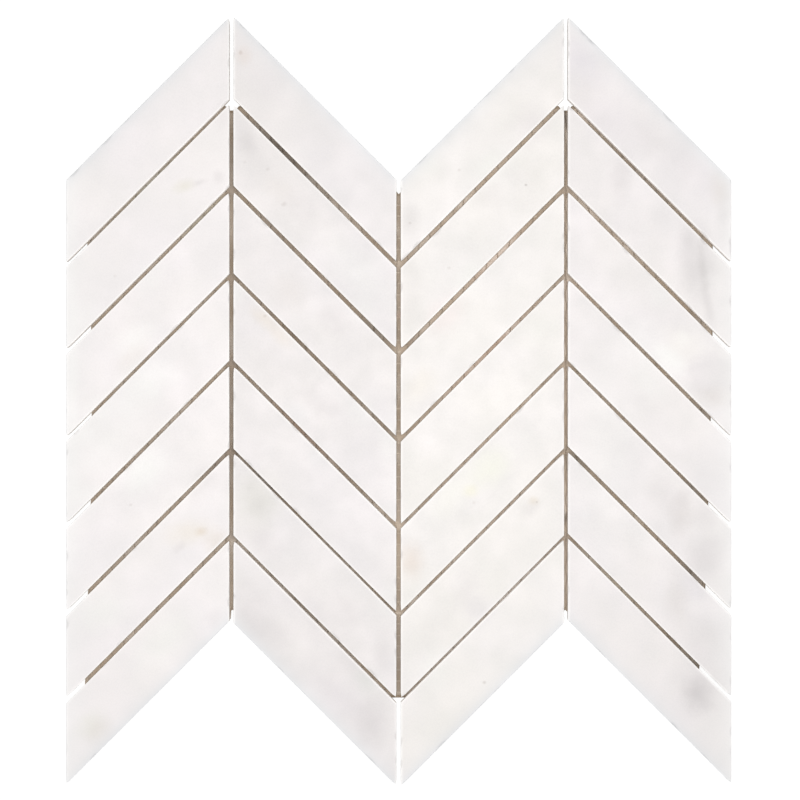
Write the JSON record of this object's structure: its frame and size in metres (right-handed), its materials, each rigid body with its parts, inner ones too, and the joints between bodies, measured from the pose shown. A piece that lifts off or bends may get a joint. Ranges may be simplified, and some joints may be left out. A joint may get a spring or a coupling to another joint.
{
  "type": "chevron wall tile",
  "caption": "Sheet of white marble chevron mosaic: mitred parallelogram pieces in mirrored sloping columns, glued with open joints onto a trimmed glass-fibre mesh.",
  "frame": {"origin": "on the underside of the backing mesh, below the middle of the sheet's outline", "axes": "+Z out of the polished stone face, +Y along the columns towards the two top points, +X across the columns to the right as seen from the face"},
  "size_m": [0.2922, 0.3382, 0.01],
  "materials": {
    "white_marble": "satin",
    "glass_fibre_mesh": "matte"
  },
  "bodies": {
    "root": {"backing_mesh": "glass_fibre_mesh", "stone_col1_row1": "white_marble", "stone_col1_row2": "white_marble", "stone_col1_row3": "white_marble", "stone_col1_row4": "white_marble", "stone_col1_row5": "white_marble", "stone_col1_row6": "white_marble", "stone_col1_row7": "white_marble", "stone_col2_row1": "white_marble", "stone_col2_row2": "white_marble", "stone_col2_row3": "white_marble", "stone_col2_row4": "white_marble", "stone_col2_row5": "white_marble", "stone_col2_row6": "white_marble", "stone_col2_row7": "white_marble", "stone_col3_row1": "white_marble", "stone_col3_row2": "white_marble", "stone_col3_row3": "white_marble", "stone_col3_row4": "white_marble", "stone_col3_row5": "white_marble", "stone_col3_row6": "white_marble", "stone_col3_row7": "white_marble", "stone_col4_row1": "white_marble", "stone_col4_row2": "white_marble", "stone_col4_row3": "white_marble", "stone_col4_row4": "white_marble", "stone_col4_row5": "white_marble", "stone_col4_row6": "white_marble", "stone_col4_row7": "white_marble"}
  },
  "joints": []
}
